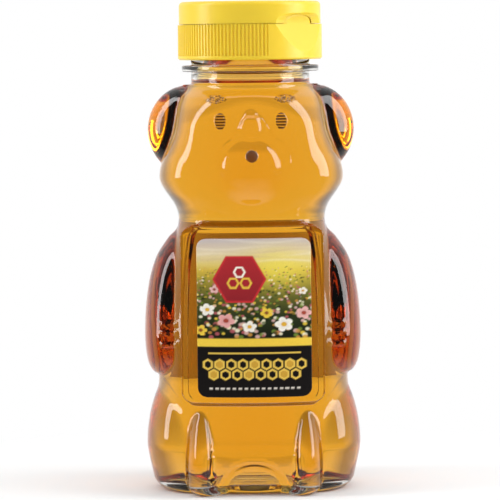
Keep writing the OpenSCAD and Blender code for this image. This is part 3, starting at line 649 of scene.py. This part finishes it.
def backLabelMesh():
    size = {"w": 38.0, "h": 45.6, "z": 31.0, "t": 0.15, "gap": 0.12}
    rows, cols = 46, 40
    z = size["z"] + np.linspace(0, size["h"], rows + 1)[:, None]
    x = size["w"]*(np.linspace(0, 1, cols + 1)[None, :] - 0.5)
    t = np.pi - np.arcsin(x/(bear["depth"]/2))*0.98 + 0*z
    z = z + 0*x
    r = skin(t, z)
    grids = []
    for off in (size["gap"] + size["t"], size["gap"]):
        grids.append(np.stack([(r + off)*np.sin(t), -(r + off)*np.cos(t), z], 2)*mm)
    return sheetMesh(grids[0], grids[1])


points, faces, kinds = backLabelMesh()
backLabel = newPiece("back_label_sheet", points, faces, [labelPaper, labelGlue], "bottle")
backLabel.data.polygons.foreach_set("material_index", kinds)
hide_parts("back_label")
print("labels made")

# Living hinge: a curved web with a thin groove along the seam
hinge = {"az": 49.0, "r": 21.35, "w": 14.0, "h": 3.0, "t": 0.45, "z": 137.2, "groove": 0.2}


def hingeMesh():
    half = hinge["w"]/(hinge["r"] + hinge["t"]/2)/2
    turn = math.radians(hinge["az"] + 90) + np.linspace(half, -half, 19)[None, :]
    v = np.linspace(-hinge["h"]/2, hinge["h"]/2, 25)[:, None]
    rounded = hinge["t"]*(1 - 0.5*ease(hinge["h"]/2 - 0.4, hinge["h"]/2, np.abs(v)))
    out = hinge["r"] + rounded - hinge["groove"]*np.exp(-(v/0.35)**2) + 0*turn
    grids = []
    for r in (out, hinge["r"] + 0.02 + 0*out):
        grids.append(np.stack([r*np.cos(turn), r*np.sin(turn), hinge["z"] + v + 0*turn], -1)*mm)
    return sheetMesh(grids[0], grids[1])


points, faces, kinds = hingeMesh()
web = newPiece("living_hinge_web", points, faces, [yellowCap], None)
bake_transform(web)
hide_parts("living_hinge")
print("hinge made")

for name, material in (("cap_base", yellowCap), ("flip_lid", yellowCap), ("mouth_seal", sealFoil),
                       ("cap_liner", linerFoam)):
    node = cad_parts[name]
    node.data.materials.clear()
    node.data.materials.append(material)
print("CAD nodes finished")

def setRamp(node, stops):
    ramp = node.color_ramp
    while len(ramp.elements) < len(stops):
        ramp.elements.new(0.5)
    for element, (place, value) in zip(ramp.elements, stops):
        element.position = place
        element.color = toLinear(value) if isinstance(value, str) else (value, value, value, 1)


# Floor, world, lamps and camera

def maths(tree, operation, first, second):
    node = addNode(tree, "ShaderNodeMath", operation=operation)
    for socket, value in zip(node.inputs, (first, second)):
        if isinstance(value, (int, float)):
            socket.default_value = value
        else:
            tree.links.new(value, socket)
    return node.outputs[0]


# White for the camera. Round the bottle stands a tent that is bright and low behind it, with a bright wall at
# each side and dark gaps between, so that edges and relief in the clear honey show as they do before a white card
def studioLight(tree, direction, ambient):
    unit = addNode(tree, "ShaderNodeVectorMath", {0: direction}, operation="NORMALIZE")
    axes = addNode(tree, "ShaderNodeSeparateXYZ", {"Vector": unit.outputs[0]})
    depth = addNode(tree, "ShaderNodeMapRange", {"Value": axes.outputs["Y"]}, in_From_Min=-1.0).outputs[0]
    rise = addNode(tree, "ShaderNodeMapRange", {"Value": axes.outputs["Z"]}, in_From_Min=-1.0).outputs[0]
    levels = []
    for source, stops in (
            (depth, [(0.0, 0.7), (0.25, 0.5), (0.34, 1.1), (0.64, 1.1), (0.72, 0.45), (0.85, 0.45), (0.92, 1.0)]),
            (rise, [(0.3, 0.4), (0.45, 1.0), (0.66, 1.0), (0.74, 0.14), (1.0, 0.14)]),
            (depth, [(0.0, 0.08), (0.4, 0.1), (0.5, 0.5), (0.66, 0.8), (0.8, 1.0)])):
        ramp = addNode(tree, "ShaderNodeValToRGB", {"Fac": source})
        setRamp(ramp, stops)
        levels.append(ramp.outputs["Color"])
    path = addNode(tree, "ShaderNodeLightPath")
    camera, glossy, passed = [path.outputs[n] for n in ("Is Camera Ray", "Is Glossy Ray", "Is Transmission Ray")]
    seen = maths(tree, "MAXIMUM", maths(tree, "MAXIMUM", camera, glossy), passed)
    bounced = maths(tree, "GREATER_THAN", maths(tree, "SUBTRACT", glossy, passed), 0.5)
    strength = maths(tree, "ADD", camera, maths(tree, "MULTIPLY", bounced, levels[2]))
    through = maths(tree, "MULTIPLY", levels[0], levels[1])
    strength = maths(tree, "ADD", strength, maths(tree, "MULTIPLY", passed, through))
    hidden = maths(tree, "SUBTRACT", 1.0, seen)
    return maths(tree, "ADD", strength, maths(tree, "MULTIPLY", hidden, ambient)), seen, passed


def makeFloor():
    rings, count = [0.0, 0.05, 0.1, 0.2, 0.4, 0.8, 1.6, 3.0], 48
    points, faces = [(0, 0, 0)], []
    for r in rings[1:]:
        points += [(r*math.cos(a), r*math.sin(a), 0) for a in np.linspace(0, 2*math.pi, count, endpoint=False)]
    faces += [(0, 1 + i, 1 + (i + 1) % count) for i in range(count)]
    for k in range(len(rings) - 2):
        a = 1 + k*count
        faces += [(a + i, a + count + i, a + count + (i + 1) % count, a + (i + 1) % count) for i in range(count)]
    mesh = bpy.data.meshes.new("floor")
    mesh.from_pydata(points, [], faces)
    floor = bpy.data.objects.new("floor", mesh)
    bpy.context.scene.collection.objects.link(floor)
    material, tree = newMaterial("pale studio floor")
    coords = addNode(tree, "ShaderNodeTexCoord")
    distance = addNode(tree, "ShaderNodeVectorMath", {0: coords.outputs["Object"]}, operation="LENGTH")
    far = addNode(tree, "ShaderNodeMapRange", {"Value": distance.outputs["Value"]}, interpolation_type="SMOOTHSTEP",
                  in_From_Min=0.03, in_From_Max=0.13)
    strength, seen, passed = studioLight(tree, coords.outputs["Object"], 0.0)
    # Seen through the bottle, the glow of the floor behind it is dimmed: to 0.3 within 3 cm of the bottle, rising to
    # full by 11 cm, which is a painted shadow, and to 0.8 in a ring 0.29 to 0.4 m out, which is a painted darker band
    paintedShadowBands = addNode(tree, "ShaderNodeValToRGB", {"Fac": maths(tree, "DIVIDE", distance.outputs["Value"], 2.0)})
    setRamp(paintedShadowBands, [(0.015, 0.3), (0.055, 1.0), (0.125, 1.0), (0.145, 0.8), (0.2, 0.8), (0.25, 1.0)])
    unit = addNode(tree, "ShaderNodeVectorMath", {0: coords.outputs["Object"]}, operation="NORMALIZE")
    behind = addNode(tree, "ShaderNodeSeparateXYZ", {"Vector": unit.outputs[0]})
    share = addNode(tree, "ShaderNodeMapRange", {"Value": behind.outputs["Y"]}, in_From_Min=0.5, in_From_Max=0.8)
    shadowDimmed = addNode(tree, "ShaderNodeMix", {"Factor": maths(tree, "MULTIPLY", passed, share.outputs[0]),
                                             "B": paintedShadowBands.outputs["Color"]}, data_type="FLOAT", in_A=1.0)
    strength = maths(tree, "MULTIPLY", strength, shadowDimmed.outputs["Result"])
    factor = maths(tree, "MAXIMUM", maths(tree, "MULTIPLY", seen, far.outputs["Result"]), passed)
    paint = addNode(tree, "ShaderNodeBsdfPrincipled", in_Base_Color=toLinear("#FAFAFA"), in_Roughness=0.7,
                    in_Specular_IOR_Level=0.2)
    glow = addNode(tree, "ShaderNodeEmission", {"Strength": strength}, in_Color=(1, 1, 1, 1))
    mix = addNode(tree, "ShaderNodeMixShader", {0: factor, 1: paint.outputs["BSDF"], 2: glow.outputs[0]})
    finishMaterial(tree, mix.outputs[0])
    mesh.materials.append(material)


def makeWorld():
    world = bpy.data.worlds.new("studio")
    bpy.context.scene.world = world
    world.use_nodes = True
    tree = world.node_tree
    tree.nodes.clear()
    coords = addNode(tree, "ShaderNodeTexCoord")
    strength, seen, passed = studioLight(tree, coords.outputs["Generated"], 0.55)
    light = addNode(tree, "ShaderNodeBackground", {"Strength": strength}, in_Color=(1, 1, 1, 1))
    addNode(tree, "ShaderNodeOutputWorld", {"Surface": light.outputs[0]})


lamps = {  # place, aimed at, width and height in metres, radiance
    "right": ((0.84, -0.15, 0.42), (0, 0, 0.08), 0.46, 1.1, 5.0),
    "left": ((-0.84, -0.15, 0.42), (0, 0, 0.08), 0.26, 1.1, 6.0),
    "top": ((0, 0.1, 1.0), (0, 0, 0.07), 0.8, 0.8, 1.0),
}


def makeLamps():
    for name, (place, aim, width, height, radiance) in lamps.items():
        lamp = bpy.data.lights.new(name, "AREA")
        lamp.shape = "RECTANGLE"
        lamp.size, lamp.size_y = width, height
        lamp.energy = radiance*math.pi*width*height
        holder = bpy.data.objects.new(name, lamp)
        bpy.context.scene.collection.objects.link(holder)
        holder.location = place
        holder.rotation_euler = (Vector(aim) - Vector(place)).to_track_quat("-Z", "Y").to_euler()


cameraSize = {"distance": 0.85, "height": 0.132, "aim": 0.0703, "scale": 3360.0, "roll": -0.6}


def makeCamera():
    data = bpy.data.cameras.new("camera")
    camera = bpy.data.objects.new("camera", data)
    bpy.context.scene.collection.objects.link(camera)
    place = Vector((0.0, -cameraSize["distance"], cameraSize["height"]))
    aim = Vector((-0.0006, 0, cameraSize["aim"]))
    look = (aim - place).to_track_quat("-Z", "Y").to_matrix().to_4x4()
    roll = Matrix.Rotation(math.radians(cameraSize["roll"]), 4, "Z")
    camera.matrix_world = Matrix.Translation(place) @ look @ roll
    data.sensor_width = 36
    data.lens = cameraSize["scale"]*(aim - place).length*36/500
    data.clip_start = 0.01
    data.clip_end = 20
    bpy.context.scene.camera = camera


makeFloor()
makeWorld()
makeLamps()
makeCamera()
bpy.context.scene.view_settings.view_transform = "Standard"
bpy.context.scene.cycles.max_bounces = 80
bpy.context.scene.cycles.transmission_bounces = 80
print("studio ready")
